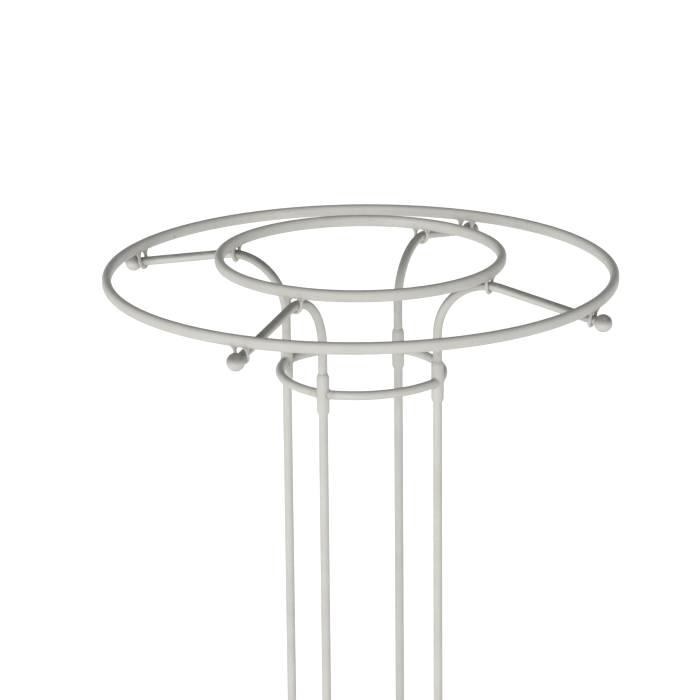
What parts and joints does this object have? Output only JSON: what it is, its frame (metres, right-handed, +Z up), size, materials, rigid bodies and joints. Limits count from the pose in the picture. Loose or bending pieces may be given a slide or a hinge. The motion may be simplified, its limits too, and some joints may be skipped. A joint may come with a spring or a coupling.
{
  "type": "rose umbrella",
  "caption": "Rose umbrella: posts with a plug-on collar, arched arms with ball finials, and two concentric hoops hung over them, in cream coated steel.",
  "frame": {"origin": "centre of the four posts, at ground level", "axes": "+Z up; one post and arm on each of +X, +Y, -X and -Y"},
  "size_m": [0.9456, 0.9456, 1.6981],
  "materials": {
    "cream_coat": "cream-grey powder coat, low sheen",
    "grey_plastic": "moulded, matte",
    "zinc_plate": "zinc plated"
  },
  "bodies": {
    "legs": {"post_right": "cream_coat", "post_back": "cream_coat", "post_left": "cream_coat", "post_front": "cream_coat", "foot_plug_right": "grey_plastic", "foot_plug_back": "grey_plastic", "foot_plug_left": "grey_plastic", "foot_plug_front": "grey_plastic"},
    "collar": {"socket_right": "cream_coat", "socket_back": "cream_coat", "socket_left": "cream_coat", "socket_front": "cream_coat", "collar_rail_right_back": "cream_coat", "collar_rail_back_left": "cream_coat", "collar_rail_left_front": "cream_coat", "collar_rail_front_right": "cream_coat"},
    "canopy": {"arm_right": "cream_coat", "arm_back": "cream_coat", "arm_left": "cream_coat", "arm_front": "cream_coat", "inner_ring": "cream_coat", "outer_ring": "cream_coat", "inner_eye_right": "cream_coat", "inner_eye_back": "cream_coat", "inner_eye_left": "cream_coat", "inner_eye_front": "cream_coat", "outer_eye_right": "cream_coat", "outer_eye_back": "cream_coat", "outer_eye_left": "cream_coat", "outer_eye_front": "cream_coat", "finial_stud_right": "zinc_plate", "finial_stud_back": "zinc_plate", "finial_stud_left": "zinc_plate", "finial_stud_front": "zinc_plate"},
    "finial_right": {"ball_finial_right": "cream_coat"},
    "finial_back": {"ball_finial_back": "cream_coat"},
    "finial_left": {"ball_finial_left": "cream_coat"},
    "finial_front": {"ball_finial_front": "cream_coat"}
  },
  "joints": [
    {"name": "collar_lift", "type": "slide", "parent": "legs", "child": "collar", "axis": [0, 0, 1], "range_m": [0, 0.04]},
    {"name": "canopy_lift", "type": "slide", "parent": "collar", "child": "canopy", "axis": [0, 0, 1], "range_m": [0, 0.04]},
    {"name": "finial_turn_right", "type": "hinge", "parent": "canopy", "child": "finial_right", "pos_m": [0.45731, 0, 1.62465], "axis": [0.9806, 0, -0.1959], "continuous": true},
    {"name": "finial_turn_back", "type": "hinge", "parent": "canopy", "child": "finial_back", "pos_m": [0, 0.45731, 1.62465], "axis": [0, 0.9806, -0.1959], "continuous": true},
    {"name": "finial_turn_left", "type": "hinge", "parent": "canopy", "child": "finial_left", "pos_m": [-0.45731, 0, 1.62465], "axis": [-0.9806, 0, -0.1959], "continuous": true},
    {"name": "finial_turn_front", "type": "hinge", "parent": "canopy", "child": "finial_front", "pos_m": [0, -0.45731, 1.62465], "axis": [0, -0.9806, -0.1959], "continuous": true}
  ]
}
